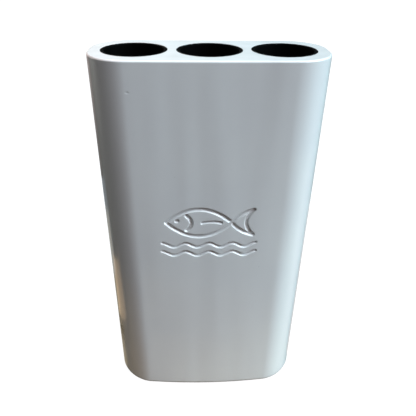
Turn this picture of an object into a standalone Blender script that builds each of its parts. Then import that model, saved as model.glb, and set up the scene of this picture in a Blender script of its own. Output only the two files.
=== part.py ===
"""Triple fishing-rod holder: a drafted stadium-plan moulding around three lined bores.

Metres, +Z up. The origin is the centre of the underside, +X to the right, -Y the crowned front
and +Y the flat back. Run it with: blender --background --python part.py
"""

import math

import bmesh
import bpy
from mathutils import Matrix, Vector

MM = 0.001
GAP = 0.3 * MM  # clearance between neighbouring solids

# Casing
HEIGHT = 325 * MM
TOP_HALF_WIDTH = 93 * MM
TOP_HALF_DEPTH = 36.5 * MM
DRAFT = math.radians(1.0)
MID_PLANE = 0.75 * MM  # Y of the plane through the bores and the round ends
FRONT_LINE = -37.25 * MM  # Y of the front's middle line, which is upright
END_RADIUS = 30.5 * MM
WALL = 3 * MM
TOP_EDGE_RADIUS = 1.6 * MM
BOTTOM_EDGE_RADIUS = 5 * MM
CORNER_STEPS = 8
FRONT_STEPS = 10
EDGE_STEPS = 4
WALL_ROWS = 6

# Bores and liner tubes
BORE_PITCH = 58 * MM
BORE_RADIUS = 25.7 * MM
TUBE_RADIUS = BORE_RADIUS - GAP
TUBE_WALL = 2.3 * MM
TUBE_RECESS = 0.4 * MM
ROUND_STEPS = 36

# Base: the plate lies flush in a rebate, under a gasket and a ledge
RIM_WIDTH = 7 * MM
LEDGE_WIDTH = 10 * MM
LEDGE_THICKNESS = 4 * MM
PLATE_THICKNESS = 4 * MM
GASKET_THICKNESS = 0.9 * MM
LEDGE_BOTTOM = PLATE_THICKNESS + GASKET_THICKNESS + 2 * GAP
LEDGE_TOP = LEDGE_BOTTOM + LEDGE_THICKNESS
SCREW_INSET = RIM_WIDTH + 5.5 * MM
SCREW_RADIUS = 1.75 * MM
SCREW_HEAD_RADIUS = 3.6 * MM
SCREW_HEAD_DEPTH = 2 * MM
SCREW_SUNK = 0.2 * MM
SCREW_SOCKET_RADIUS = 1.4 * MM
SCREW_SOCKET_DEPTH = 1.2 * MM

# Plugs and drains
PLUG_FLANGE = 4 * MM
PLUG_DEPTH = 10 * MM
PLUG_DISH = 2 * MM
PLUG_BOTTOM = LEDGE_TOP + GAP
TUBE_BOTTOM = PLUG_BOTTOM + PLUG_FLANGE + GAP
DRAIN_RADIUS = 3.5 * MM
BUSH_RADIUS = 5 * MM
BUSH_FLANGE_RADIUS = 9 * MM
BUSH_FLANGE = 1.8 * MM

# Sealant bead under the deck, and the spacer rib
SEAL_WIDTH = 3.2 * MM
SEAL_DEPTH = 6 * MM
SPACER_HEIGHT = 160 * MM
SPACER_THICKNESS = 6 * MM

# Mounting blocks, their threaded inserts and the holes in the back wall
BLOCK_HEIGHTS = {"lower": 62 * MM, "upper": 262 * MM}
BLOCK_WIDTH = 40 * MM
BLOCK_TALL = 44 * MM
BLOCK_FRONT = 12 * MM  # from the mid-plane
BLOCK_CLEARANCE = 0.5 * MM
INSERT_RADIUS = 5.5 * MM
INSERT_BORE = 3.2 * MM
INSERT_LENGTH = 12 * MM
INSERT_SUNK = 0.4 * MM
MOUNT_HOLE_RADIUS = 4.5 * MM

# Engraved emblem on the front: a fish over two waves
EMBLEM_HEIGHT = 183 * MM  # Z of its centre
EMBLEM_DEPTH = 1.5 * MM
EMBLEM_SLOPE = 0.45  # how far each wall of a groove leans, per unit of depth
EMBLEM_PROUD = 1 * MM
FISH_STROKE = 4 * MM
WAVE_STROKE = 3.2 * MM

OVERRUN = 2 * MM  # how far cutters run past what they cut

GELCOAT = ("gelcoat_white", (0.80, 0.82, 0.83), 0.18, 0.0)
LAMINATE = ("glass_laminate", (0.62, 0.60, 0.50), 0.55, 0.0)
LINER = ("liner_black", (0.012, 0.012, 0.013), 0.35, 0.0)
SEALANT = ("sealant_black", (0.02, 0.02, 0.02), 0.6, 0.0)
RUBBER = ("rubber_black", (0.025, 0.025, 0.025), 0.7, 0.0)
ACETAL = ("acetal_black", (0.03, 0.03, 0.03), 0.4, 0.0)
STAINLESS = ("stainless_steel", (0.62, 0.61, 0.59), 0.3, 1.0)

TUBE_SIDES = {"left": -BORE_PITCH, "middle": 0.0, "right": BORE_PITCH}
CUSP_SIDES = {"left": -BORE_PITCH / 2, "right": BORE_PITCH / 2}


# ---------------------------------------------------------------- scene and mesh helpers


def clear_scene():
    for obj in list(bpy.data.objects):
        bpy.data.objects.remove(obj, do_unlink=True)


def material(finish):
    name, colour, roughness, metallic = finish
    found = bpy.data.materials.get(name)
    if found:
        return found
    made = bpy.data.materials.new(name)
    made.use_nodes = True
    shader = made.node_tree.nodes["Principled BSDF"]
    shader.inputs["Base Color"].default_value = (*colour, 1.0)
    shader.inputs["Roughness"].default_value = roughness
    shader.inputs["Metallic"].default_value = metallic
    return made


def add_object(name, mesh, finish=None, smooth_angle=35):
    obj = bpy.data.objects.new(name, mesh)
    bpy.context.scene.collection.objects.link(obj)
    if finish:
        mesh.materials.append(material(finish))
        mesh.shade_smooth()
        mesh.set_sharp_from_angle(angle=math.radians(smooth_angle))
    else:
        obj.hide_render = True
        obj.display_type = "WIRE"
    return obj


def to_mesh(bm, name):
    bmesh.ops.recalc_face_normals(bm, faces=bm.faces)
    mesh = bpy.data.meshes.new(name)
    bm.to_mesh(mesh)
    bm.free()
    return mesh


def loft(name, rows, finish=None):
    """A closed solid through rings of points, with both ends capped."""
    bm = bmesh.new()
    rings = [[bm.verts.new(point) for point in row] for row in rows]
    for low, high in zip(rings, rings[1:]):
        for i in range(len(low)):
            j = (i + 1) % len(low)
            bm.faces.new((low[i], low[j], high[j], high[i]))
    bm.faces.new(rings[0])
    bm.faces.new(rings[-1])
    return add_object(name, to_mesh(bm, name), finish)


def turned(name, profile, finish=None, steps=ROUND_STEPS):
    """A body of revolution about Z from a closed profile of (radius, z) points."""
    bm = bmesh.new()
    points = [bm.verts.new((radius, 0, z)) for radius, z in profile]
    edges = [bm.edges.new((a, b)) for a, b in zip(points, points[1:] + points[:1])]
    bmesh.ops.spin(
        bm,
        geom=points + edges,
        cent=(0, 0, 0),
        axis=(0, 0, 1),
        angle=2 * math.pi,
        steps=steps,
        use_merge=True,
    )
    bmesh.ops.remove_doubles(bm, verts=bm.verts, dist=1e-6)
    return add_object(name, to_mesh(bm, name), finish)


def cylinder(name, radius, low, high, steps=ROUND_STEPS):
    """A cutter about Z, from low to high."""
    bm = bmesh.new()
    bmesh.ops.create_cone(
        bm,
        cap_ends=True,
        segments=steps,
        radius1=radius,
        radius2=radius,
        depth=high - low,
        matrix=Matrix.Translation((0, 0, (low + high) / 2)),
    )
    return add_object(name, to_mesh(bm, name))


def cut(target, cutter):
    modifier = target.modifiers.new(cutter.name, "BOOLEAN")
    modifier.operation = "DIFFERENCE"
    modifier.solver = "EXACT"
    modifier.object = cutter


# ---------------------------------------------------------------- the moulding's shape


def half_sizes(height, inset=0.0):
    """Half width, half depth and the front's extra crown at this height."""
    shrink = (HEIGHT - height) * math.tan(DRAFT)
    half_width = TOP_HALF_WIDTH - shrink - inset
    half_depth = TOP_HALF_DEPTH - shrink - inset
    crown = MID_PLANE - half_depth - inset - FRONT_LINE
    return half_width, half_depth, crown


def back_face(height, inset=0.0):
    return MID_PLANE + half_sizes(height, inset)[1]


def front_face(x, height, inset=0.0):
    half_width, half_depth, crown = half_sizes(height, inset)
    return MID_PLANE - half_depth - crown * (1 - (x / half_width) ** 2)


def outline(height, inset=0.0):
    """The plan at this height: round ends, a flat back and a crowned front, anticlockwise."""
    half_width, half_depth, crown = half_sizes(height, inset)
    radius = min(END_RADIUS - inset, half_depth)
    centre_x = half_width - radius
    centre_y = half_depth - radius
    flat = []
    for quarter in range(4):
        side_x = (1, -1, -1, 1)[quarter] * centre_x
        side_y = (1, 1, -1, -1)[quarter] * centre_y
        for step in range(CORNER_STEPS + 1):
            angle = (quarter + step / CORNER_STEPS) * math.pi / 2
            flat.append((side_x + radius * math.cos(angle), side_y + radius * math.sin(angle)))
        if quarter == 2:
            for step in range(1, FRONT_STEPS):
                flat.append((centre_x * (2 * step / FRONT_STEPS - 1), -half_depth))
    points = []
    for x, y in flat:
        if y < 0:
            y *= 1 + crown / half_depth * (1 - (x / half_width) ** 2)
        points.append(Vector((x, MID_PLANE + y, height)))
    return points


def body_rows():
    """Rings of the outside, with both edges rounded."""
    rows = []
    for step in range(EDGE_STEPS + 1):
        angle = math.pi / 2 * step / EDGE_STEPS
        height = BOTTOM_EDGE_RADIUS * (1 - math.sin(angle))
        rows.append(outline(height, BOTTOM_EDGE_RADIUS * (1 - math.cos(angle))))
    rows.reverse()
    low = BOTTOM_EDGE_RADIUS
    high = HEIGHT - TOP_EDGE_RADIUS
    rows += [outline(low + (high - low) * step / WALL_ROWS) for step in range(1, WALL_ROWS)]
    for step in range(EDGE_STEPS + 1):
        angle = math.pi / 2 * step / EDGE_STEPS
        height = high + TOP_EDGE_RADIUS * math.sin(angle)
        rows.append(outline(height, TOP_EDGE_RADIUS * (1 - math.cos(angle))))
    return rows


def rows_between(low, high, inset, count=2):
    return [outline(low + (high - low) * step / (count - 1), inset) for step in range(count)]


# ---------------------------------------------------------------- engraved emblem


def arc(start, end, bulge, steps=14):
    """A parabolic arc from start to end that stands bulge to the left of the chord."""
    start, end = Vector(start), Vector(end)
    chord = end - start
    normal = Vector((-chord.y, chord.x)).normalized()
    points = []
    for step in range(steps + 1):
        t = step / steps
        points.append(start + chord * t + normal * bulge * 4 * t * (1 - t))
    return points


def wave(low_x, high_x, y, height, periods, steps_each=8):
    steps = periods * steps_each
    points = []
    for step in range(steps + 1):
        t = step / steps
        points.append(
            Vector((low_x + (high_x - low_x) * t, y + height * math.cos(2 * math.pi * periods * t)))
        )
    return points


def stroke_outline(path, half_width, cap_steps=6):
    """The closed outline of a stroke along path, with round ends."""
    normals = []
    for i in range(len(path)):
        along = path[min(i + 1, len(path) - 1)] - path[max(i - 1, 0)]
        normals.append(Vector((-along.y, along.x)).normalized())
    right = [point - normal * half_width for point, normal in zip(path, normals)]
    left = [point + normal * half_width for point, normal in zip(path, normals)]
    return right + cap(path[-1], -normals[-1], half_width, cap_steps) + left[::-1] + cap(
        path[0], normals[0], half_width, cap_steps
    )


def cap(centre, first, half_width, steps):
    """The points of a half circle after first, without its two ends."""
    points = []
    for step in range(1, steps):
        turn = Matrix.Rotation(math.pi * step / steps, 2)
        points.append(centre + turn @ first * half_width)
    return points


def groove_cutter(name, path, width):
    """A stroke with leaning walls that follows the front face at a constant depth."""
    rows = []
    for level in (-EMBLEM_PROUD, EMBLEM_DEPTH):
        row = []
        for point in stroke_outline(path, width / 2 - level * EMBLEM_SLOPE):
            x, z = point.x, EMBLEM_HEIGHT + point.y
            row.append(Vector((x, front_face(x, z) + level, z)))
        rows.append(row)
    return loft(name, rows)


def emblem_strokes():
    """Paths and widths of the fish and the waves, in metres from the emblem's centre."""
    nose = Vector((-36, 9)) * MM
    joint = Vector((19, 9)) * MM
    strokes = [
        (arc(nose, joint, 13 * MM), FISH_STROKE),
        (arc(joint, nose, 13 * MM), FISH_STROKE),
        (arc(joint, Vector((37, 21)) * MM, 2 * MM, 6), FISH_STROKE),
        (arc(Vector((37, -3)) * MM, joint, 2 * MM, 6), FISH_STROKE),
        (arc(Vector((37, 21)) * MM, Vector((37, -3)) * MM, -6 * MM, 8), FISH_STROKE),
        (arc(Vector((-19, 2)) * MM, Vector((-19, 16)) * MM, -4 * MM, 6), FISH_STROKE),
        (arc(Vector((-6, 9)) * MM, Vector((10, 9)) * MM, 1 * MM, 6), WAVE_STROKE),
        (arc(Vector((-27.4, 11)) * MM, Vector((-26.6, 11)) * MM, 0, 2), FISH_STROKE),
    ]
    for y in (-13 * MM, -21.5 * MM):
        strokes.append((wave(-40 * MM, 40 * MM, y, 2 * MM, 4), WAVE_STROKE))
    return strokes


# ---------------------------------------------------------------- pieces


def base_screw_places():
    """Plan positions of the base screws, in the middle of the ledge."""
    half_width = half_sizes(0, SCREW_INSET)[0]
    places = {"left_end": (-half_width, MID_PLANE), "right_end": (half_width, MID_PLANE)}
    for side, x in CUSP_SIDES.items():
        places["front_" + side] = (x, front_face(x, 0, SCREW_INSET))
        places["rear_" + side] = (x, back_face(0, SCREW_INSET))
    return places


def make_casing():
    casing = loft("casing", body_rows(), GELCOAT)
    ceiling = HEIGHT - WALL
    cut(casing, loft("cavity_cutter", rows_between(LEDGE_TOP, ceiling, WALL, WALL_ROWS)))
    opening = rows_between(-OVERRUN, LEDGE_TOP + OVERRUN, RIM_WIDTH + LEDGE_WIDTH)
    cut(casing, loft("ledge_cutter", opening))
    cut(casing, loft("rebate_cutter", rows_between(-OVERRUN, LEDGE_BOTTOM, RIM_WIDTH)))
    for side, x in TUBE_SIDES.items():
        bore = cylinder("bore_cutter_" + side, BORE_RADIUS, ceiling - OVERRUN, HEIGHT + OVERRUN)
        bore.location = (x, MID_PLANE, 0)
        cut(casing, bore)
    for place, (x, y) in base_screw_places().items():
        pilot = cylinder("pilot_cutter_" + place, SCREW_RADIUS + GAP, 0, LEDGE_TOP + OVERRUN, 12)
        pilot.location = (x, y, 0)
        cut(casing, pilot)
    for level, height in BLOCK_HEIGHTS.items():
        for side, x in CUSP_SIDES.items():
            name = f"mount_hole_cutter_{level}_{side}"
            hole = cylinder(name, MOUNT_HOLE_RADIUS, -WALL - OVERRUN, OVERRUN, 24)
            hole.rotation_euler.x = -math.pi / 2
            hole.location = (x, back_face(height), height)
            cut(casing, hole)
    for number, (path, width) in enumerate(emblem_strokes(), 1):
        cut(casing, groove_cutter(f"emblem_cutter_{number}", path, width))


def make_liner(side, x):
    outer = TUBE_RADIUS
    inner = TUBE_RADIUS - TUBE_WALL
    top = HEIGHT - TUBE_RECESS
    ease = TUBE_WALL / 3
    profile = (
        (outer, TUBE_BOTTOM),
        (outer, top),
        (inner + ease, top),
        (inner, top - ease),
        (inner, TUBE_BOTTOM),
    )
    tube = turned("liner_tube_" + side, profile, LINER)
    tube.location = (x, MID_PLANE, 0)


def make_seal(side, x):
    top = HEIGHT - WALL - GAP
    inner = TUBE_RADIUS + GAP
    profile = (
        (inner, top - SEAL_DEPTH),
        (inner + SEAL_WIDTH / 3, top - SEAL_DEPTH / 2),
        (inner + SEAL_WIDTH, top),
        (inner, top),
    )
    seal = turned("liner_seal_" + side, profile, SEALANT)
    seal.location = (x, MID_PLANE, 0)


def make_butt_plug(side, x):
    top = TUBE_BOTTOM + PLUG_DEPTH
    body = TUBE_RADIUS - TUBE_WALL - GAP
    profile = (
        (DRAIN_RADIUS, PLUG_BOTTOM),
        (TUBE_RADIUS, PLUG_BOTTOM),
        (TUBE_RADIUS, PLUG_BOTTOM + PLUG_FLANGE),
        (body, PLUG_BOTTOM + PLUG_FLANGE),
        (body, top),
        (body - PLUG_DISH, top),
        (body / 2, top - PLUG_DISH * 0.8),
        (DRAIN_RADIUS, top - PLUG_DISH),
    )
    plug = turned("butt_plug_" + side, profile, RUBBER)
    plug.location = (x, MID_PLANE, 0)


def make_drain_bush(side, x):
    flange_bottom = PLATE_THICKNESS + GAP
    flange_top = flange_bottom + BUSH_FLANGE
    profile = (
        (DRAIN_RADIUS, GAP),
        (BUSH_RADIUS, GAP),
        (BUSH_RADIUS, flange_bottom),
        (BUSH_FLANGE_RADIUS, flange_bottom),
        (BUSH_FLANGE_RADIUS, flange_top),
        (BUSH_RADIUS, flange_top),
        (BUSH_RADIUS, LEDGE_TOP),
        (DRAIN_RADIUS, LEDGE_TOP),
    )
    bush = turned("drain_bush_" + side, profile, ACETAL, 24)
    bush.location = (x, MID_PLANE, 0)


def make_tube_spacer():
    top = SPACER_HEIGHT + SPACER_THICKNESS
    spacer = loft("tube_spacer", rows_between(SPACER_HEIGHT, top, WALL + GAP), LAMINATE)
    for side, x in TUBE_SIDES.items():
        name = "spacer_cutter_" + side
        hole = cylinder(name, TUBE_RADIUS + GAP, SPACER_HEIGHT - OVERRUN, top + OVERRUN)
        hole.location = (x, MID_PLANE, 0)
        cut(spacer, hole)


def make_base_plate():
    plate = loft("base_plate", rows_between(0, PLATE_THICKNESS, RIM_WIDTH + GAP), GELCOAT)
    for side, x in TUBE_SIDES.items():
        name = "drain_cutter_" + side
        hole = cylinder(name, BUSH_RADIUS + GAP, -OVERRUN, PLATE_THICKNESS + OVERRUN, 24)
        hole.location = (x, MID_PLANE, 0)
        cut(plate, hole)
    head_top = SCREW_SUNK + SCREW_HEAD_DEPTH
    profile = (
        (0, -OVERRUN),
        (SCREW_HEAD_RADIUS + GAP, -OVERRUN),
        (SCREW_HEAD_RADIUS + GAP, SCREW_SUNK),
        (SCREW_RADIUS + GAP, head_top + GAP),
        (SCREW_RADIUS + GAP, PLATE_THICKNESS + OVERRUN),
        (0, PLATE_THICKNESS + OVERRUN),
    )
    for place, (x, y) in base_screw_places().items():
        countersink = turned("countersink_cutter_" + place, profile, steps=16)
        countersink.location = (x, y, 0)
        cut(plate, countersink)


def make_base_gasket():
    low = PLATE_THICKNESS + GAP
    high = low + GASKET_THICKNESS
    gasket = loft("base_gasket", rows_between(low, high, RIM_WIDTH + 2 * GAP), RUBBER)
    inner_inset = RIM_WIDTH + LEDGE_WIDTH - GAP
    cut(gasket, loft("gasket_cutter", rows_between(low - OVERRUN, high + OVERRUN, inner_inset)))
    for place, (x, y) in base_screw_places().items():
        hole = cylinder("gasket_hole_" + place, SCREW_RADIUS + GAP, 0, high + OVERRUN, 12)
        hole.location = (x, y, 0)
        cut(gasket, hole)


def make_base_screws():
    head_top = SCREW_SUNK + SCREW_HEAD_DEPTH
    tip = LEDGE_TOP - GAP
    profile = (
        (0, SCREW_SUNK),
        (SCREW_HEAD_RADIUS, SCREW_SUNK),
        (SCREW_RADIUS, head_top),
        (SCREW_RADIUS, tip - SCREW_RADIUS),
        (0, tip),
    )
    for place, (x, y) in base_screw_places().items():
        screw = turned("base_screw_" + place, profile, STAINLESS, 16)
        screw.location = (x, y, 0)
        low, high = -OVERRUN, SCREW_SUNK + SCREW_SOCKET_DEPTH
        socket = cylinder("socket_cutter_" + place, SCREW_SOCKET_RADIUS, low, high, 6)
        socket.location = (x, y, 0)
        cut(screw, socket)


def make_mount_block(level, side, height, x):
    """A block that nests between two tubes, with its back along the back wall."""
    rows = []
    for z in (height - BLOCK_TALL / 2, height + BLOCK_TALL / 2):
        back = back_face(z, WALL + GAP)
        front = MID_PLANE + BLOCK_FRONT
        low_x, high_x = x - BLOCK_WIDTH / 2, x + BLOCK_WIDTH / 2
        corners = ((low_x, front), (high_x, front), (high_x, back), (low_x, back))
        rows.append([Vector((*corner, z)) for corner in corners])
    block = loft(f"mount_block_{level}_{side}", rows, LAMINATE)
    low, high = height - BLOCK_TALL / 2 - OVERRUN, height + BLOCK_TALL / 2 + OVERRUN
    for tube_side, tube_x in (("inner", 0.0), ("outer", 2 * x)):
        name = f"block_cutter_{level}_{side}_{tube_side}"
        relief = cylinder(name, TUBE_RADIUS + BLOCK_CLEARANCE, low, high)
        relief.location = (tube_x, MID_PLANE, 0)
        cut(block, relief)
    name = f"insert_cutter_{level}_{side}"
    depth = INSERT_LENGTH + 2 * INSERT_SUNK + GAP
    pocket = cylinder(name, INSERT_RADIUS + GAP, -depth, OVERRUN, 24)
    pocket.rotation_euler.x = -math.pi / 2
    pocket.location = (x, back_face(height, WALL + GAP), height)
    cut(block, pocket)


def make_mount_insert(level, side, height, x):
    ease = INSERT_BORE / 4
    profile = (
        (INSERT_BORE, -INSERT_LENGTH),
        (INSERT_RADIUS - ease, -INSERT_LENGTH),
        (INSERT_RADIUS, ease - INSERT_LENGTH),
        (INSERT_RADIUS, 0),
        (INSERT_BORE + ease, 0),
        (INSERT_BORE, -ease),
    )
    insert = turned(f"mount_insert_{level}_{side}", profile, STAINLESS, 24)
    insert.rotation_euler.x = -math.pi / 2
    insert.location = (x, back_face(height, WALL + GAP) - INSERT_SUNK, height)


def main():
    clear_scene()
    make_casing()
    for side, x in TUBE_SIDES.items():
        make_liner(side, x)
        make_seal(side, x)
        make_butt_plug(side, x)
        make_drain_bush(side, x)
    make_tube_spacer()
    make_base_plate()
    make_base_gasket()
    make_base_screws()
    for level, height in BLOCK_HEIGHTS.items():
        for side, x in CUSP_SIDES.items():
            make_mount_block(level, side, height, x)
            make_mount_insert(level, side, height, x)


main()
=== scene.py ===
"""Looks of the triple rod holder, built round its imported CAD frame.

Metres, +Z up, in the CAD's frame: the origin is the centre of the underside, +X to the right,
-Y the crowned front and +Y the flat back.
"""

import math

import bmesh
import bpy
import numpy as np
from mathutils import Matrix, Vector


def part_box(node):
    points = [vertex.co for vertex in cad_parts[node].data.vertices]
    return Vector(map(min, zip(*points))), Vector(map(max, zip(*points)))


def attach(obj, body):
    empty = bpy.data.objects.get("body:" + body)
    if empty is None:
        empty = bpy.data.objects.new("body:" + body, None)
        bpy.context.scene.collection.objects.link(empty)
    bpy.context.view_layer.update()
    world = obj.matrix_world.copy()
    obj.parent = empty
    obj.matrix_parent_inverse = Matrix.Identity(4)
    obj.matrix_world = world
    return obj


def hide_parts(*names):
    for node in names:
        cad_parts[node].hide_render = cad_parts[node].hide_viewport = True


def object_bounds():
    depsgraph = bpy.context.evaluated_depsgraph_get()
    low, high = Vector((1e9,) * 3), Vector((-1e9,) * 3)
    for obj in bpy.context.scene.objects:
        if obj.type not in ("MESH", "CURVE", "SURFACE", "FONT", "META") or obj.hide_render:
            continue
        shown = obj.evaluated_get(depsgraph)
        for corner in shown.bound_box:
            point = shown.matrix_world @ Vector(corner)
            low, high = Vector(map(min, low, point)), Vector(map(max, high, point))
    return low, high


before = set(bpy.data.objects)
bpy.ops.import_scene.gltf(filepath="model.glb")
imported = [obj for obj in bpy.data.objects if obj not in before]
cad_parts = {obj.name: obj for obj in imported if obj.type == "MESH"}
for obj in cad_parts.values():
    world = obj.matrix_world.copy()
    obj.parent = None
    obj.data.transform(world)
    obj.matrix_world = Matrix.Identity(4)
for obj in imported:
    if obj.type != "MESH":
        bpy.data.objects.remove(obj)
CAD_LOW, CAD_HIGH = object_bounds()

MM = 0.001
BODY = "root"

# ---- The moulding, by the same rule as the CAD casing
HEIGHT = CAD_HIGH.z
TOP_HALF_WIDTH = 93 * MM
TOP_HALF_DEPTH = 36.5 * MM
DRAFT = math.radians(1.0)
MID_PLANE = 0.75 * MM
FRONT_LINE = -37.25 * MM
END_RADIUS = 30.5 * MM
WALL = 3 * MM
TOP_EDGE_RADIUS = 1.6 * MM
BOTTOM_EDGE_RADIUS = 5 * MM
CORNER_STEPS = 26
FRONT_STEPS = 24
BACK_STEPS = 12
EDGE_STEPS = 9

# ---- Inside: the tubes, the closed base and the bolt holes, from the frame where it has them
SIDES = ("left", "middle", "right")
CUSPS = ("left", "right")
LEVELS = ("lower", "upper")
SCREW_PLACES = ("front_left", "front_right", "rear_left", "rear_right", "left_end", "right_end")
CLEARANCE = 0.3 * MM
BORE_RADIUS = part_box("liner_tube_middle")[1].x + CLEARANCE
PLATE_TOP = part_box("base_plate")[1].z
GASKET_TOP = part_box("base_gasket")[1].z
LEDGE_BOTTOM = GASKET_TOP + CLEARANCE
LEDGE_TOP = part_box("butt_plug_middle")[0].z - CLEARANCE
RIM_WIDTH = 7 * MM
LEDGE_WIDTH = 10 * MM
MOUNT_HOLE_RADIUS = 4.5 * MM
MOUTH_EASE = 0.15 * MM
HOLE_EASE = 0.8 * MM
PLATE_EDGE_RADIUS = 0.7 * MM
LINER_WALL = 2.3 * MM
LINER_GAP = 0.05 * MM  # the liners are bonded in, nearly flush with the deck

# ---- Small parts: screws, plugs, drains, inserts
PILOT_RADIUS = 2.05 * MM
SCREW_RADIUS = 1.75 * MM
SCREW_PITCH = 0.9 * MM
HEAD_DEPTH = 2 * MM
SOCKET_RADIUS = 1.4 * MM
SOCKET_DEPTH = 1.4 * MM
THREAD_DEPTH = 0.35 * MM
PLUG_LIP = 2.6 * MM
PLUG_LIP_HEIGHT = 4 * MM
DRAIN_RADIUS = 3.5 * MM
DRAIN_STEM_RADIUS = 5 * MM
DRAIN_FLANGE = 1.8 * MM
INSERT_BORE_RADIUS = 3.2 * MM
INSERT_PITCH = 1.0 * MM

# ---- Meshing
ROUND_STEPS = 96
OVERRUN = 2 * MM  # how far a cutter stands out of what it cuts
SHARP_ANGLE = math.radians(30)
MERGE_DISTANCE = 0.001 * MM

# ---- Engraved emblem on the front: a fish over two waves
EMBLEM_HEIGHT = 183 * MM
EMBLEM_REACH = 45 * MM
EMBLEM_RISE = 27 * MM
EMBLEM_CELL = 0.4 * MM
EMBLEM_DEPTH = 1.5 * MM
EMBLEM_RUN = 1.2 * MM  # how wide each leaning wall of a groove is
FISH_STROKE = 4 * MM
WAVE_STROKE = 3.2 * MM

# ---- Small dents low on the left end: (turn round the end, height, radius, depth)
DENTS = (
    (math.radians(200), 78 * MM, 2.6 * MM, 0.35 * MM),
    (math.radians(206), 70 * MM, 3.4 * MM, 0.45 * MM),
    (math.radians(199), 62 * MM, 2.8 * MM, 0.40 * MM),
    (math.radians(208), 55 * MM, 2.2 * MM, 0.30 * MM),
)
DENT_ZONE = (44 * MM, 88 * MM)
DENT_CELL = 1.4 * MM
WALL_CELL = 9 * MM

# ---- Marks that only the gelcoat's material has: place and reach along X, Y, Z
GRAZE_PLACE = (-84 * MM, -13 * MM, 60 * MM)
GRAZE_REACH = (9 * MM, 13 * MM, 30 * MM)
NICK_PLACE = (-61 * MM, -36.5 * MM, 302 * MM)
NICK_REACH = (2.2 * MM, 3 * MM, 1.4 * MM)


# ---------------------------------------------------------------- helpers


def add_object(name, mesh, finish=None, replaces=()):
    """Adds a mesh to the scene. With a finish it is a piece of the object, without it a cutter."""
    obj = bpy.data.objects.new(name, mesh)
    bpy.context.scene.collection.objects.link(obj)
    if finish is None:
        obj.hide_render = True
        return obj
    mesh.materials.clear()
    mesh.materials.append(finish)
    mesh.shade_smooth()
    mesh.set_sharp_from_angle(angle=SHARP_ANGLE)
    weighted = obj.modifiers.new("weighted_normals", "WEIGHTED_NORMAL")
    weighted.mode = "FACE_AREA"
    weighted.keep_sharp = True
    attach(obj, BODY)
    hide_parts(*replaces)
    return obj


def mesh_from(name, points, faces):
    """A mesh whose faces all look outwards."""
    mesh = bpy.data.meshes.new(name)
    mesh.from_pydata([tuple(p) for p in points], [], faces)
    bm = bmesh.new()
    bm.from_mesh(mesh)
    bmesh.ops.recalc_face_normals(bm, faces=bm.faces)
    bm.to_mesh(mesh)
    bm.free()
    return mesh


def skin(rows):
    """Points and faces of a closed skin through rings of points, with both ends capped."""
    count = len(rows[0])
    points = np.concatenate(rows)
    faces = []
    for low in range(0, len(points) - count, count):
        for i in range(count):
            j = (i + 1) % count
            faces.append((low + i, low + j, low + j + count, low + i + count))
    faces.append(tuple(range(count)))
    faces.append(tuple(range(len(points) - count, len(points))))
    return points, faces


def turned_mesh(name, profile, steps=ROUND_STEPS):
    """A ring about Z from a closed profile of (radius, z) points, or a solid if it meets the axis."""
    bm = bmesh.new()
    verts = [bm.verts.new((radius, 0, z)) for radius, z in profile]
    edges = [bm.edges.new(pair) for pair in zip(verts, verts[1:] + verts[:1])]
    bmesh.ops.spin(
        bm,
        geom=verts + edges,
        cent=(0, 0, 0),
        axis=(0, 0, 1),
        angle=2 * math.pi,
        steps=steps,
        use_merge=True,
    )
    bmesh.ops.remove_doubles(bm, verts=bm.verts, dist=MERGE_DISTANCE)
    loose = [edge for edge in bm.edges if not edge.link_faces]
    bmesh.ops.delete(bm, geom=loose, context="EDGES")
    bmesh.ops.recalc_face_normals(bm, faces=bm.faces)
    mesh = bpy.data.meshes.new(name)
    bm.to_mesh(mesh)
    bm.free()
    return mesh


def eased(corners, steps=5):
    """A closed profile from (radius, z, ease) corners, each rounded by its ease."""
    profile = []
    count = len(corners)
    for i, (radius, z, ease) in enumerate(corners):
        corner = Vector((radius, z))
        if not ease:
            profile.append((radius, z))
            continue
        before = (Vector(corners[i - 1][:2]) - corner).normalized() * ease
        after = (Vector(corners[(i + 1) % count][:2]) - corner).normalized() * ease
        for step in range(steps + 1):
            t = step / steps
            point = corner + before * (1 - t) ** 2 + after * t**2
            profile.append(tuple(point))
    return profile


def carved(name, mesh, cutters):
    """The mesh less its cutters, which are removed."""
    target = add_object(name + "_blank", mesh)
    for cutter in cutters:
        boolean = target.modifiers.new(cutter.name, "BOOLEAN")
        boolean.operation = "DIFFERENCE"
        boolean.solver = "MANIFOLD"
        boolean.object = cutter
    bpy.context.view_layer.update()
    evaluated = target.evaluated_get(bpy.context.evaluated_depsgraph_get())
    result = bpy.data.meshes.new_from_object(evaluated)
    result.name = name
    for used in [target, *cutters]:
        bpy.data.objects.remove(used, do_unlink=True)
    return result


def placed(cutter, location, turn=None):
    """Moves a cutter's own points to where it cuts."""
    matrix = Matrix.Translation(location)
    if turn:
        matrix = matrix @ turn
    cutter.data.transform(matrix)
    return cutter


def drill(name, profile, location, turn=None, steps=ROUND_STEPS):
    """A turned cutter, where it cuts."""
    return placed(add_object(name, turned_mesh(name, profile, steps)), location, turn)


def middle_of(node):
    low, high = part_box(node)
    return (low + high) / 2


def axis_of(node):
    """Where a CAD node's upright axis meets the floor."""
    middle = middle_of(node)
    return Vector((middle.x, middle.y, 0))


# ---------------------------------------------------------------- the moulding's shape


def half_sizes(height, inset=0.0):
    """Half width, half depth and the front's extra crown at this height."""
    shrink = (HEIGHT - height) * math.tan(DRAFT)
    half_width = TOP_HALF_WIDTH - shrink - inset
    half_depth = TOP_HALF_DEPTH - shrink - inset
    crown = MID_PLANE - half_depth - inset - FRONT_LINE
    return half_width, half_depth, crown


def back_face(height, inset=0.0):
    """Y of the back at this height."""
    return MID_PLANE + half_sizes(height, inset)[1]


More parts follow.
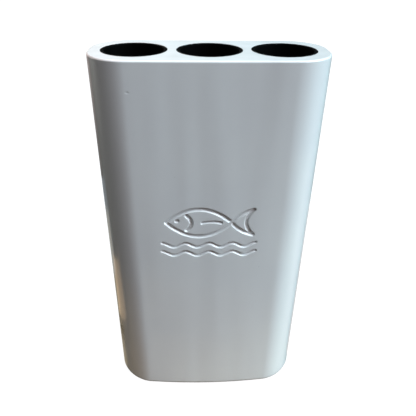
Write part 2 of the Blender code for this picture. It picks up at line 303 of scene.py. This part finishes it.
def front_stations(centre_x, fine):
    """X of the front's columns between the round ends, close together across the emblem."""
    if not fine:
        return np.linspace(-centre_x, centre_x, FRONT_STEPS + 1)[1:-1]
    close = np.linspace(-EMBLEM_REACH, EMBLEM_REACH, round(2 * EMBLEM_REACH / EMBLEM_CELL) + 1)
    side = EMBLEM_REACH + (centre_x - EMBLEM_REACH) * np.array((0.1, 0.3, 0.6, 0.8))
    return np.concatenate((-side[::-1], close, side))


def outline(height, inset=0.0, fine=False):
    """The plan at this height: round ends, a flat back and a crowned front, anticlockwise."""
    half_width, half_depth, crown = half_sizes(height, inset)
    radius = min(END_RADIUS - inset, half_depth)
    centre_x = half_width - radius
    centre_y = half_depth - radius
    xs, ys = [], []
    for quarter, (side_x, side_y) in enumerate(((1, 1), (-1, 1), (-1, -1), (1, -1))):
        angles = (quarter + np.linspace(0, 1, CORNER_STEPS + 1)) * math.pi / 2
        xs.append(side_x * centre_x + radius * np.cos(angles))
        ys.append(side_y * centre_y + radius * np.sin(angles))
        if quarter == 0:
            xs.append(np.linspace(centre_x, -centre_x, BACK_STEPS + 1)[1:-1])
            ys.append(np.full(BACK_STEPS - 1, half_depth))
        if quarter == 2:
            xs.append(front_stations(centre_x, fine))
            ys.append(np.full(len(xs[-1]), -half_depth))
    x, y = np.concatenate(xs), np.concatenate(ys)
    crowned = y * (1 + crown / half_depth * (1 - (x / half_width) ** 2))
    y = np.where(y < 0, crowned, y)
    return np.stack((x, MID_PLANE + y, np.full(len(x), height)), axis=1)


def spaced(low, high, cell):
    """Numbers from low to high, about a cell apart."""
    return np.linspace(low, high, max(2, round((high - low) / cell) + 1))


def wall_heights():
    """Heights of the wall's rows, close together across the dents and the emblem."""
    low, high = BOTTOM_EDGE_RADIUS, HEIGHT - TOP_EDGE_RADIUS
    emblem = (EMBLEM_HEIGHT - EMBLEM_RISE, EMBLEM_HEIGHT + EMBLEM_RISE)
    runs = (
        spaced(low, DENT_ZONE[0], WALL_CELL),
        spaced(*DENT_ZONE, DENT_CELL),
        spaced(DENT_ZONE[1], emblem[0], WALL_CELL),
        spaced(*emblem, EMBLEM_CELL),
        spaced(emblem[1], high, WALL_CELL),
    )
    return np.unique(np.concatenate(runs))


def body_rows():
    """Rings of the outside, with both edges rounded."""
    angles = np.linspace(0, math.pi / 2, EDGE_STEPS + 1)
    rows = []
    for angle in angles[::-1]:
        inset = BOTTOM_EDGE_RADIUS * (1 - math.cos(angle))
        rows.append(outline(BOTTOM_EDGE_RADIUS * (1 - math.sin(angle)), inset, fine=True))
    for height in wall_heights()[1:-1]:
        rows.append(outline(height, fine=True))
    for angle in angles:
        height = HEIGHT - TOP_EDGE_RADIUS * (1 - math.sin(angle))
        rows.append(outline(height, TOP_EDGE_RADIUS * (1 - math.cos(angle)), fine=True))
    return rows


# ---------------------------------------------------------------- engraved emblem


def arc(start, end, bulge, steps=16):
    """A parabolic arc from start to end, in millimetres, that stands bulge to the left."""
    start, end = np.array(start, float), np.array(end, float)
    chord = end - start
    normal = np.array((-chord[1], chord[0])) / np.linalg.norm(chord)
    t = np.linspace(0, 1, steps + 1)[:, None]
    return start + chord * t + normal * bulge * 4 * t * (1 - t)


def wave(half_length, y, height, periods, steps_each=10):
    """A level cosine wave through the emblem's width, in millimetres."""
    t = np.linspace(0, 1, periods * steps_each + 1)
    x = half_length * (2 * t - 1)
    return np.stack((x, y + height * np.cos(2 * math.pi * periods * t)), axis=1)


def emblem_strokes():
    """Paths in millimetres from the emblem's centre, and the stroke widths."""
    nose, joint = (-36, 9), (19, 9)
    upper_fin, lower_fin = (37, 21), (37, -3)
    return (
        (arc(nose, joint, 13), FISH_STROKE),
        (arc(joint, nose, 13), FISH_STROKE),
        (arc(joint, upper_fin, 2), FISH_STROKE),
        (arc(lower_fin, joint, 2), FISH_STROKE),
        (arc(upper_fin, lower_fin, -6), FISH_STROKE),
        (arc((-19, 2), (-19, 16), -4), FISH_STROKE),
        (arc((-6, 9), (10, 9), 1), WAVE_STROKE),
        (arc((-27.4, 11), (-26.6, 11), 0, 1), FISH_STROKE),
        (wave(40, -13, 2, 4), WAVE_STROKE),
        (wave(40, -21.5, 2, 4), WAVE_STROKE),
    )


def distance_to(path, places):
    """How far each place is from the path, a line through points."""
    nearest = np.full(len(places), np.inf)
    for start, end in zip(path, path[1:]):
        along = end - start
        share = np.clip((places - start) @ along / (along @ along), 0, 1)
        foot = start + share[:, None] * along
        nearest = np.minimum(nearest, np.linalg.norm(places - foot, axis=1))
    return nearest


def engrave(points):
    """Sinks the front's points along the emblem's strokes."""
    x, y, z = points.T
    inside = (np.abs(x) < EMBLEM_REACH) & (np.abs(z - EMBLEM_HEIGHT) < EMBLEM_RISE) & (y < 0)
    places = np.stack((x[inside], z[inside] - EMBLEM_HEIGHT), axis=1)
    depth = np.zeros(len(places))
    for path, width in emblem_strokes():
        reach = width / 2 - distance_to(path * MM, places)
        share = np.clip(reach / EMBLEM_RUN, 0, 1)
        depth = np.maximum(depth, EMBLEM_DEPTH * share * share * (3 - 2 * share))
    points[inside, 1] += depth


def dent(points):
    """Presses the small dents into the left end."""
    for turn, height, radius, depth in DENTS:
        half_width = half_sizes(height)[0]
        centre = Vector((END_RADIUS - half_width, MID_PLANE, height))
        outward = Vector((math.cos(turn), math.sin(turn), 0))
        middle = centre + outward * END_RADIUS
        distance = np.linalg.norm(points - np.array(middle), axis=1)
        sink = depth * np.exp(-((distance / radius) ** 2) * 2)
        points -= np.array(outward) * sink[:, None]


# ---------------------------------------------------------------- pieces


def cavity_cutters():
    """What hollows the casing: the space inside, the ledge's opening and the plate's rebate."""
    ceiling = HEIGHT - WALL
    spans = {
        "cavity": (LEDGE_TOP, ceiling, WALL),
        "opening": (-OVERRUN, LEDGE_TOP + OVERRUN, RIM_WIDTH + LEDGE_WIDTH),
        "rebate": (-OVERRUN, LEDGE_BOTTOM, RIM_WIDTH),
    }
    made = []
    for name, (low, high, inset) in spans.items():
        rows = [outline(low, inset), outline(high, inset)]
        made.append(add_object(name, mesh_from(name, *skin(rows))))
    return made


def bore_cutters():
    """Bores with eased mouths through the deck."""
    mouth = (
        (0, HEIGHT - WALL - OVERRUN),
        (BORE_RADIUS, HEIGHT - WALL - OVERRUN),
        (BORE_RADIUS, HEIGHT - MOUTH_EASE),
        (BORE_RADIUS + MOUTH_EASE * 0.3, HEIGHT - MOUTH_EASE * 0.35),
        (BORE_RADIUS + MOUTH_EASE, HEIGHT + 0.01 * MM),
        (BORE_RADIUS + MOUTH_EASE, HEIGHT + OVERRUN),
        (0, HEIGHT + OVERRUN),
    )
    return [drill("bore_" + side, mouth, axis_of("liner_tube_" + side)) for side in SIDES]


def pilot_cutters():
    """Holes for the base screws through the ledge."""
    hole = ((0, 0), (PILOT_RADIUS, 0), (PILOT_RADIUS, LEDGE_TOP + OVERRUN), (0, LEDGE_TOP + OVERRUN))
    return [drill("pilot_" + place, hole, axis_of("base_screw_" + place), steps=24)
            for place in SCREW_PLACES]


def mount_hole_cutters():
    """Bolt holes with eased mouths through the back."""
    radius = MOUNT_HOLE_RADIUS
    hole = (
        (0, -WALL - OVERRUN),
        (radius, -WALL - OVERRUN),
        (radius, -HOLE_EASE),
        (radius + HOLE_EASE * 0.3, -HOLE_EASE * 0.3),
        (radius + HOLE_EASE, 0),
        (radius + HOLE_EASE, OVERRUN),
        (0, OVERRUN),
    )
    turn = Matrix.Rotation(-math.pi / 2, 4, "X")
    made = []
    for level in LEVELS:
        for side in CUSPS:
            middle = middle_of(f"mount_insert_{level}_{side}")
            place = (middle.x, back_face(middle.z), middle.z)
            made.append(drill(f"hole_{level}_{side}", hole, place, turn, 48))
    return made


def make_casing(finish):
    """The moulding as one shell, engraved, dented and hollowed."""
    points, faces = skin(body_rows())
    engrave(points)
    dent(points)
    blank = mesh_from("casing_shell", points, faces)
    cutters = cavity_cutters() + bore_cutters() + pilot_cutters() + mount_hole_cutters()
    mesh = carved("casing_shell", blank, cutters)
    add_object("casing_shell", mesh, finish, ["casing"])


def turned_piece(name, node, corners, finish, steps=ROUND_STEPS):
    """A turned piece on its CAD node's axis, from (radius, z, ease) corners."""
    mesh = turned_mesh(name, eased(corners), steps)
    mesh.transform(Matrix.Translation(axis_of(node)))
    add_object(name, mesh, finish, [node])


def make_liners(finishes):
    """The black tubes, with their inner lips rounded."""
    for side in SIDES:
        node = "liner_tube_" + side
        low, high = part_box(node)
        outer = BORE_RADIUS - LINER_GAP
        inner = (high.x - low.x) / 2 - LINER_WALL
        top = HEIGHT - LINER_GAP
        corners = (
            (outer, low.z, 0.4 * MM),
            (outer, top, 0.1 * MM),
            (inner, top, 0.9 * MM),
            (inner, low.z, 0.4 * MM),
        )
        turned_piece("liner_" + side, node, corners, finishes["liner"])


def make_butt_plugs(finishes):
    """Rubber plugs, dished towards the drain."""
    for side in SIDES:
        node = "butt_plug_" + side
        low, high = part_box(node)
        outer = (high.x - low.x) / 2
        body = outer - PLUG_LIP
        lip_top = low.z + PLUG_LIP_HEIGHT
        corners = (
            (DRAIN_RADIUS, low.z, 0.3 * MM),
            (outer, low.z, 0.5 * MM),
            (outer, lip_top, 0.4 * MM),
            (body, lip_top, 0.2 * MM),
            (body, high.z, 0.7 * MM),
            (body - 2 * MM, high.z, 0.6 * MM),
            (body * 0.5, high.z - 1.6 * MM, 3 * MM),
            (DRAIN_RADIUS, high.z - 2 * MM, 0.5 * MM),
        )
        turned_piece("butt_cushion_" + side, node, corners, finishes["rubber"])


def make_drain_bushes(finishes):
    """Flanged spigots through the base plate."""
    for side in SIDES:
        node = "drain_bush_" + side
        low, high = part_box(node)
        flange_radius = (high.x - low.x) / 2
        flange_low = PLATE_TOP + CLEARANCE
        flange_high = flange_low + DRAIN_FLANGE
        corners = (
            (DRAIN_RADIUS, low.z, 0.5 * MM),
            (DRAIN_STEM_RADIUS, low.z, 0.4 * MM),
            (DRAIN_STEM_RADIUS, flange_low, 0),
            (flange_radius, flange_low, 0.3 * MM),
            (flange_radius, flange_high, 0.5 * MM),
            (DRAIN_STEM_RADIUS, flange_high, 0.3 * MM),
            (DRAIN_STEM_RADIUS, high.z, 0.4 * MM),
            (DRAIN_RADIUS, high.z, 0.3 * MM),
        )
        turned_piece("drain_" + side, node, corners, finishes["acetal"], 64)


def plate_rows():
    """Rings of the base plate, with its lower edge rounded."""
    inset = RIM_WIDTH + CLEARANCE
    rows = []
    for angle in np.linspace(math.pi / 2, 0, 5):
        height = PLATE_EDGE_RADIUS * (1 - math.sin(angle))
        rows.append(outline(height, inset + PLATE_EDGE_RADIUS * (1 - math.cos(angle))))
    rows.append(outline(PLATE_TOP, inset))
    return rows


def drain_cutters():
    """Ways for the drain bushes through the base plate, with eased lower edges."""
    way, ease = DRAIN_STEM_RADIUS + CLEARANCE, 0.5 * MM
    profile = eased((
        (0, -OVERRUN, 0),
        (way + ease, -OVERRUN, 0),
        (way + ease, 0, 0),
        (way, ease, 0.2 * MM),
        (way, PLATE_TOP + OVERRUN, 0),
        (0, PLATE_TOP + OVERRUN, 0),
    ))
    return [drill("way_" + side, profile, axis_of("drain_bush_" + side), steps=64) for side in SIDES]


def countersink_cutters():
    """Countersunk holes for the base screws through the base plate."""
    low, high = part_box("base_screw_left_end")
    head = (high.x - low.x) / 2 + CLEARANCE
    seat = low.z + HEAD_DEPTH + CLEARANCE
    profile = (
        (0, -OVERRUN),
        (head, -OVERRUN),
        (head, low.z),
        (PILOT_RADIUS, seat),
        (PILOT_RADIUS, PLATE_TOP + OVERRUN),
        (0, PLATE_TOP + OVERRUN),
    )
    return [drill("sink_" + place, profile, axis_of("base_screw_" + place), steps=48)
            for place in SCREW_PLACES]


def make_base_plate(finish):
    blank = mesh_from("base_cover", *skin(plate_rows()))
    mesh = carved("base_cover", blank, drain_cutters() + countersink_cutters())
    add_object("base_cover", mesh, finish, ["base_plate"])


def screw_profile(low, high, head):
    """A countersunk screw from the middle of its head to its tip, with the thread as rings."""
    profile = [(0, low), (head - 0.3 * MM, low), (head, low + 0.15 * MM), (head, low + 0.3 * MM)]
    profile.append((SCREW_RADIUS, low + HEAD_DEPTH))
    z = low + HEAD_DEPTH + 0.8 * MM
    while z + SCREW_PITCH < high - SCREW_RADIUS:
        profile.append((SCREW_RADIUS - THREAD_DEPTH, z))
        profile.append((SCREW_RADIUS, z + SCREW_PITCH / 2))
        z += SCREW_PITCH
    profile += [(SCREW_RADIUS - 0.3 * MM, high - SCREW_RADIUS), (0, high)]
    return profile


def make_screws(finishes):
    """Base screws, each with a six-sided socket."""
    for place in SCREW_PLACES:
        node = "base_screw_" + place
        low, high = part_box(node)
        blank = turned_mesh("screw", screw_profile(low.z, high.z, (high.x - low.x) / 2), 48)
        floor = low.z + SOCKET_DEPTH
        socket = ((0, -OVERRUN), (SOCKET_RADIUS, -OVERRUN), (SOCKET_RADIUS, floor), (0, floor + 0.4 * MM))
        mesh = carved("screw_" + place, blank, [drill("socket", socket, (0, 0, 0), steps=6)])
        mesh.transform(Matrix.Translation(axis_of(node)))
        add_object("screw_" + place, mesh, finishes["stainless"], [node])


def insert_profile(length, outer):
    """A threaded insert from its inner end to its mouth at 0, with the thread as rings."""
    valley = INSERT_BORE_RADIUS + THREAD_DEPTH
    profile = [(valley, -length), (outer - 0.6 * MM, -length), (outer, 0.6 * MM - length)]
    profile += [(outer, -0.3 * MM), (outer - 0.3 * MM, 0), (INSERT_BORE_RADIUS + 0.8 * MM, 0)]
    z = -0.8 * MM
    while z - INSERT_PITCH > -length:
        profile += [(INSERT_BORE_RADIUS, z), (valley, z - INSERT_PITCH / 2)]
        z -= INSERT_PITCH
    return profile


def make_inserts(finishes):
    """Threaded inserts behind the bolt holes."""
    turn = Matrix.Rotation(-math.pi / 2, 4, "X")
    for level in LEVELS:
        for side in CUSPS:
            node = f"mount_insert_{level}_{side}"
            low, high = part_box(node)
            middle = middle_of(node)
            mesh = turned_mesh("insert", insert_profile(high.y - low.y, (high.x - low.x) / 2), 64)
            mesh.transform(Matrix.Translation((middle.x, high.y, middle.z)) @ turn)
            name = f"threaded_insert_{level}_{side}"
            add_object(name, mesh, finishes["stainless"], [node])


# ---------------------------------------------------------------- materials


class Finish:
    """A small helper that builds one node material."""

    def __init__(self, name, colour, roughness, metallic=0.0, ior=1.5):
        self.material = bpy.data.materials.new(name)
        self.material.use_nodes = True
        self.tree = self.material.node_tree
        self.shader = self.tree.nodes["Principled BSDF"]
        self.set("Base Color", (*colour, 1.0))
        self.set("Roughness", roughness)
        self.set("Metallic", metallic)
        self.set("IOR", ior)
        self.coordinates = self.tree.nodes.new("ShaderNodeTexCoord").outputs["Object"]

    def set(self, socket, value):
        """Gives a socket of the shader one value."""
        self.shader.inputs[socket].default_value = value

    def link(self, output, node_input):
        self.tree.links.new(output, node_input)

    def stretched(self, scale):
        """Object coordinates, stretched along the axes."""
        mapping = self.tree.nodes.new("ShaderNodeMapping")
        mapping.inputs["Scale"].default_value = scale
        self.link(self.coordinates, mapping.inputs["Vector"])
        return mapping.outputs["Vector"]

    def noise(self, scale, detail=3.0, stretch=(1, 1, 1), roughness=0.5, distortion=0.0):
        node = self.tree.nodes.new("ShaderNodeTexNoise")
        node.inputs["Scale"].default_value = scale
        node.inputs["Detail"].default_value = detail
        node.inputs["Roughness"].default_value = roughness
        node.inputs["Distortion"].default_value = distortion
        self.link(self.stretched(stretch), node.inputs["Vector"])
        return node.outputs["Fac"]

    def spread(self, value, low, high, to_low=0.0, to_high=1.0):
        """Maps low..high of a value to to_low..to_high, and holds it there."""
        node = self.tree.nodes.new("ShaderNodeMapRange")
        node.interpolation_type = "SMOOTHSTEP"
        limits = {"From Min": low, "From Max": high, "To Min": to_low, "To Max": to_high}
        for socket, number in limits.items():
            node.inputs[socket].default_value = number
        self.link(value, node.inputs["Value"])
        return node.outputs["Result"]

    def near(self, place, reach):
        """1 at a place, down to 0 at its reach along each axis."""
        mapping = self.tree.nodes.new("ShaderNodeMapping")
        mapping.inputs["Scale"].default_value = [1 / r for r in reach]
        mapping.inputs["Location"].default_value = [-p / r for p, r in zip(place, reach)]
        self.link(self.coordinates, mapping.inputs["Vector"])
        length = self.tree.nodes.new("ShaderNodeVectorMath")
        length.operation = "LENGTH"
        self.link(mapping.outputs["Vector"], length.inputs[0])
        return self.spread(length.outputs["Value"], 0, 1, 1, 0)

    def math(self, operation, first, second):
        node = self.tree.nodes.new("ShaderNodeMath")
        node.operation = operation
        for socket, value in zip(node.inputs, (first, second)):
            if isinstance(value, (int, float)):
                socket.default_value = value
            else:
                self.link(value, socket)
        return node.outputs["Value"]

    def blend(self, factor, first, second):
        """A colour between first and second, which are colours or outputs."""
        node = self.tree.nodes.new("ShaderNodeMix")
        node.data_type = "RGBA"
        self.link(factor, node.inputs["Factor"])
        for socket, value in ((node.inputs[6], first), (node.inputs[7], second)):
            if isinstance(value, tuple):
                socket.default_value = (*value, 1.0)
            else:
                self.link(value, socket)
        return node.outputs[2]

    def bump(self, height, distance, normal=None):
        """A normal that height raises by up to distance, on top of another normal."""
        node = self.tree.nodes.new("ShaderNodeBump")
        node.inputs["Strength"].default_value = 1.0
        node.inputs["Distance"].default_value = distance
        self.link(height, node.inputs["Height"])
        if normal:
            self.link(normal, node.inputs["Normal"])
        return node.outputs["Normal"]

    def use(self, socket, output):
        """Feeds a socket of the shader from a node."""
        self.link(output, self.shader.inputs[socket])


def gelcoat():
    """White moulded gelcoat: glossy, faintly mottled and rippled, scuffed here and there."""
    made = Finish("gelcoat_white", (0.80, 0.82, 0.83), 0.2)
    made.set("Coat Weight", 0.4)
    made.set("Coat Roughness", 0.08)
    # The white, with pale clouds and upright streaks
    clouds = made.noise(14, 3)
    streaks = made.noise(1, 2, (60, 60, 3))
    cloudy = made.blend(made.spread(clouds, 0.3, 0.7), (0.785, 0.80, 0.815), (0.82, 0.835, 0.84))
    streaky = made.blend(made.spread(streaks, 0.35, 0.65, 0, 0.25), cloudy, (0.765, 0.785, 0.80))
    # Grey scuffs all over, dark grazes and pale specks in the rough patch
    scuffs = made.spread(made.noise(90, 4, (1, 1, 1.6), 0.65, 0.6), 0.715, 0.76)
    worn = made.blend(scuffs, streaky, (0.56, 0.56, 0.55))
    patch = made.near(GRAZE_PLACE, GRAZE_REACH)
    scratches = made.spread(made.noise(300, 3, (1, 1, 1), 0.6, 0.8), 0.40, 0.46)
    grazes = made.math("MULTIPLY", patch, scratches)
    specks = made.math("MULTIPLY", patch, made.spread(made.noise(520, 2), 0.56, 0.64))
    grimy = made.blend(grazes, worn, (0.05, 0.055, 0.045))
    made.use("Base Color", made.blend(specks, grimy, (0.90, 0.86, 0.78)))
    dull = made.spread(made.noise(35, 4), 0.3, 0.7, 0.17, 0.27)
    scuffed = made.math("ADD", dull, made.math("MULTIPLY", scuffs, 0.3))
    made.use("Roughness", made.math("ADD", scuffed, made.math("MULTIPLY", grazes, 0.5)))
    # Long ripples, orange peel and one nick
    ripple = made.bump(made.noise(1, 1, (34, 34, 5)), 1.2 * MM)
    peel = made.bump(made.noise(420, 1), 0.02 * MM, ripple)
    nick = made.math("MULTIPLY", made.near(NICK_PLACE, NICK_REACH), -1)
    made.use("Normal", made.bump(nick, 0.2 * MM, peel))
    return made.material


def liner_plastic():
    """Black extruded pipe with faint draw lines."""
    made = Finish("liner_black", (0.002, 0.002, 0.002), 0.6)
    made.set("Specular IOR Level", 0.03)
    lines = made.noise(1, 2, (900, 900, 6))
    made.use("Base Color", made.blend(lines, (0.0008, 0.0008, 0.0009), (0.002, 0.002, 0.0022)))
    made.use("Roughness", made.spread(lines, 0.3, 0.7, 0.5, 0.66))
    made.use("Normal", made.bump(lines, 0.03 * MM))
    return made.material


def rubber():
    """Matte black rubber with a fine grain and a little dust."""
    made = Finish("rubber_black", (0.02, 0.02, 0.02), 0.75)
    grain = made.noise(1400, 2)
    dust = made.spread(made.noise(60, 4), 0.45, 0.75)
    made.use("Base Color", made.blend(dust, (0.016, 0.016, 0.017), (0.04, 0.038, 0.036)))
    made.use("Roughness", made.spread(grain, 0.3, 0.7, 0.65, 0.85))
    made.use("Normal", made.bump(grain, 0.06 * MM))
    return made.material


def sealant():
    """Tooled black sealant, slightly lumpy."""
    made = Finish("sealant_black", (0.02, 0.02, 0.021), 0.55)
    lumps = made.noise(240, 3)
    made.use("Base Color", made.blend(lumps, (0.014, 0.014, 0.015), (0.028, 0.028, 0.029)))
    made.use("Normal", made.bump(lumps, 0.2 * MM))
    return made.material


def acetal():
    """Black turned acetal with fine rings."""
    made = Finish("acetal_black", (0.025, 0.025, 0.026), 0.4)
    rings = made.noise(1, 2, (60, 60, 5000))
    made.use("Base Color", made.blend(rings, (0.020, 0.020, 0.021), (0.032, 0.032, 0.033)))
    made.use("Roughness", made.spread(rings, 0.3, 0.7, 0.34, 0.46))
    made.use("Normal", made.bump(rings, 0.02 * MM))
    return made.material


def stainless():
    """Turned stainless steel with tool marks and a few dull spots."""
    made = Finish("stainless_steel", (0.62, 0.61, 0.59), 0.28, 1.0)
    rings = made.noise(1, 2, (200, 200, 6000))
    spots = made.spread(made.noise(700, 3), 0.6, 0.75)
    made.use("Base Color", made.blend(spots, (0.63, 0.62, 0.60), (0.45, 0.43, 0.40)))
    shine = made.spread(rings, 0.3, 0.7, 0.2, 0.36)
    made.use("Roughness", made.math("ADD", shine, made.math("MULTIPLY", spots, 0.2)))
    made.use("Normal", made.bump(rings, 0.01 * MM))
    return made.material


def laminate():
    """Bare glass laminate: amber resin over a crossed weave of pale strands."""
    made = Finish("glass_laminate", (0.62, 0.60, 0.50), 0.5)
    warp = made.noise(1, 2, (700, 700, 30))
    weft = made.noise(1, 2, (30, 30, 700))
    weave = made.math("MAXIMUM", warp, weft)
    made.use("Base Color", made.blend(made.spread(weave, 0.4, 0.7), (0.50, 0.45, 0.32), (0.70, 0.69, 0.60)))
    made.use("Roughness", made.spread(weave, 0.4, 0.7, 0.4, 0.6))
    made.use("Normal", made.bump(weave, 0.3 * MM))
    return made.material


def finish_carried_nodes(finishes):
    """Gives the CAD nodes that stay their own materials."""
    slots = {
        "liner_seal": "sealant",
        "base_gasket": "rubber",
        "tube_spacer": "laminate",
        "mount_block": "laminate",
    }
    for name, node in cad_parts.items():
        for start, slot in slots.items():
            if name.startswith(start):
                node.data.materials.clear()
                node.data.materials.append(finishes[slot])


# ---------------------------------------------------------------- studio

CAMERA_PLACE = (-16.8 * MM, -394.0 * MM, 406.9 * MM)
CAMERA_PITCH = 29.298  # degrees below level
CAMERA_YAW = 2.492  # degrees to the right of +Y
CAMERA_ROLL = 0.751  # degrees anticlockwise
CAMERA_LENS = 43.27  # millimetres, on the sensor's width
CAMERA_SENSOR = 36
CAMERA_NEAR = 10 * MM

FLOOR_HALF = 10.0
FLOOR_DROP = 0.02 * MM
FLOOR_GLOW = 0.97
BACKDROP_RADIUS = 8.0


def make_camera():
    """Looks down at the front from just above the deck."""
    pitch, yaw = math.radians(CAMERA_PITCH), math.radians(CAMERA_YAW)
    level = Vector((math.sin(yaw), math.cos(yaw), 0))
    forward = level * math.cos(pitch) - Vector((0, 0, math.sin(pitch)))
    right = forward.cross(Vector((0, 0, 1))).normalized()
    upward = right.cross(forward)
    axes = Matrix((right, upward, -forward)).transposed().to_4x4()
    data = bpy.data.cameras.new("camera")
    data.lens = CAMERA_LENS
    data.sensor_width = CAMERA_SENSOR
    data.clip_start = CAMERA_NEAR
    camera = bpy.data.objects.new("camera", data)
    bpy.context.scene.collection.objects.link(camera)
    roll = Matrix.Rotation(math.radians(CAMERA_ROLL), 4, "Z")
    camera.matrix_world = Matrix.Translation(CAMERA_PLACE) @ axes @ roll
    bpy.context.scene.camera = camera


def for_camera_only(obj):
    """Hides a backdrop from every ray but the camera's, so that the lights alone light the object."""
    for kind in ("diffuse", "glossy", "transmission", "volume_scatter", "shadow"):
        setattr(obj, "visible_" + kind, False)
    bpy.context.scene.collection.objects.link(obj)


def glowing_white(name, shade, glow):
    """A white that gives off light and has no shine."""
    made = Finish(name, (shade, shade, shade), 1.0)
    made.set("Specular IOR Level", 0.0)
    made.set("Emission Color", (1, 1, 1, 1))
    made.set("Emission Strength", glow)
    return made


def make_floor():
    """A plain white floor, clear from below."""
    corners = [(x * FLOOR_HALF, y * FLOOR_HALF, 0) for x, y in ((-1, -1), (1, -1), (1, 1), (-1, 1))]
    mesh = bpy.data.meshes.new("floor")
    mesh.from_pydata(corners, [], [(0, 1, 2, 3)])
    floor = bpy.data.objects.new("floor", mesh)
    floor.location.z = -FLOOR_DROP
    white = glowing_white("floor_white", 0.1, FLOOR_GLOW)
    behind = white.tree.nodes.new("ShaderNodeNewGeometry").outputs["Backfacing"]
    white.use("Alpha", white.math("SUBTRACT", 1, behind))
    mesh.materials.append(white.material)
    for_camera_only(floor)


def make_backdrop():
    """A white shell round everything."""
    bm = bmesh.new()
    bmesh.ops.create_icosphere(bm, subdivisions=4, radius=BACKDROP_RADIUS)
    mesh = bpy.data.meshes.new("backdrop")
    bm.to_mesh(mesh)
    bm.free()
    mesh.materials.append(glowing_white("backdrop_white", 0, 1.0).material)
    for_camera_only(bpy.data.objects.new("backdrop", mesh))


# Soft light from all round: (name, degrees round from the front to the right, degrees up,
# sharpness, colour). The colours here and in the panels began as a least-squares fit of trial
# renders to the reference picture, and some were then changed.
LOBES = (
    ("sky", 0, 90, 6, (2.25, 2.38, 2.42)),
    ("key", 60, 40, 24, (8.74, 9.04, 9.93)),
    ("key_right", 85, 35, 24, (6.05, 10.2, 11.3)),
    ("front_right", 40, 0, 6, (0.235, 0.135, 0.10)),
    ("right_behind", 130, 0, 24, (0.22, 0.40, 0.45)),
    ("right_low", 100, -35, 24, (0.35, 0.18, 0.19)),
    ("left_behind", -110, 0, 24, (1.08, 1.15, 1.07)),
    ("behind_left", -150, 0, 24, (1.15, 0.98, 0.95)),
    ("behind", 180, 0, 24, (0.35, 0.50, 0.50)),
)
# Small soft panels, by the floor and one above the deck: (name, place, what it faces, width, length,
# watts of red, green and blue)
PANELS = (
    ("warm_left", (-0.13, -0.06, 0.003), (-0.06, 0, 0.03), 0.08, 0.12, (0.0036, 0.0022, 0.0006)),
    ("rim_right", (0.14, 0.13, 0.003), (0.07, 0.02, 0.08), 0.10, 0.20, (0.030, 0.018, 0.014)),
    ("deck_left", (-0.12, 0, 0.50), (-0.12, 0, 0.325), 0.05, 0.05, (0.105, 0.045, 0.03)),
    ("warm_side", (-0.20, 0.04, 0.003), (-0.07, 0, 0.06), 0.10, 0.08, (0.020, 0.0135, 0.0075)),
    ("rim_left", (-0.16, 0.10, 0.003), (-0.07, 0.03, 0.08), 0.10, 0.20, (0.022, 0.018, 0.0115)),
    ("fill_left", (-0.20, 0.15, 0.05), (-0.07, 0, 0.06), 0.15, 0.15, (0.014, 0.0176, 0.0206)),
    ("fill_right", (0.25, -0.05, 0.003), (0.06, 0, 0.08), 0.20, 0.30, (0.040, 0.044, 0.0265)),
    ("base_front", (0.012, -0.085, 0.002), (0.012, -0.032, 0.012), 0.16, 0.03, (0.0036, 0.0028, 0.0016)),
    ("fill_front", (0.02, -0.14, 0.003), (0, -0.03, 0.02), 0.24, 0.06, (0.0109, 0.0086, 0.0057)),
)


def lobe(tree, direction, name, turn, rise, sharpness, colour):
    """Light that fades away from one direction, faster where it is sharper."""
    turn, rise = math.radians(turn), math.radians(rise)
    dot = tree.nodes.new("ShaderNodeVectorMath")
    dot.operation = "DOT_PRODUCT"
    dot.label = name
    dot.inputs[1].default_value = (
        math.sin(turn) * math.cos(rise), -math.cos(turn) * math.cos(rise), math.sin(rise))
    tree.links.new(direction, dot.inputs[0])
    facing = tree.nodes.new("ShaderNodeMath")
    facing.operation = "MAXIMUM"
    facing.inputs[1].default_value = 0
    tree.links.new(dot.outputs["Value"], facing.inputs[0])
    power = tree.nodes.new("ShaderNodeMath")
    power.operation = "POWER"
    power.inputs[1].default_value = sharpness
    tree.links.new(facing.outputs[0], power.inputs[0])
    lit = tree.nodes.new("ShaderNodeVectorMath")
    lit.operation = "SCALE"
    lit.inputs[0].default_value = colour
    tree.links.new(power.outputs[0], lit.inputs["Scale"])
    return lit.outputs[0]


def make_world():
    """Adds up the lobes as the world's light."""
    world = bpy.data.worlds.new("studio")
    bpy.context.scene.world = world
    world.use_nodes = True
    tree = world.node_tree
    direction = tree.nodes.new("ShaderNodeTexCoord").outputs["Generated"]
    lights = [lobe(tree, direction, *row) for row in LOBES]
    total = lights[0]
    for light in lights[1:]:
        both = tree.nodes.new("ShaderNodeVectorMath")
        both.operation = "ADD"
        tree.links.new(total, both.inputs[0])
        tree.links.new(light, both.inputs[1])
        total = both.outputs[0]
    tree.links.new(total, tree.nodes["Background"].inputs["Color"])


def make_panels():
    """Rectangular lights, unseen by the camera."""
    for name, place, target, width, length, watts in PANELS:
        data = bpy.data.lights.new(name, "AREA")
        data.shape = "RECTANGLE"
        data.size = width
        data.size_y = length
        data.energy = max(watts)
        data.color = [value / max(watts) for value in watts]
        light = bpy.data.objects.new(name, data)
        bpy.context.scene.collection.objects.link(light)
        light.location = place
        light.rotation_euler = (Vector(target) - Vector(place)).to_track_quat("-Z", "Y").to_euler()
        light.visible_camera = False


def main():
    finishes = {
        "gelcoat": gelcoat(),
        "liner": liner_plastic(),
        "rubber": rubber(),
        "sealant": sealant(),
        "acetal": acetal(),
        "stainless": stainless(),
        "laminate": laminate(),
    }
    make_casing(finishes["gelcoat"])
    make_liners(finishes)
    make_butt_plugs(finishes)
    make_drain_bushes(finishes)
    make_base_plate(finishes["gelcoat"])
    make_screws(finishes)
    make_inserts(finishes)
    finish_carried_nodes(finishes)
    make_camera()
    make_floor()
    make_backdrop()
    make_world()
    make_panels()
    bpy.context.scene.view_settings.view_transform = "Standard"


main()
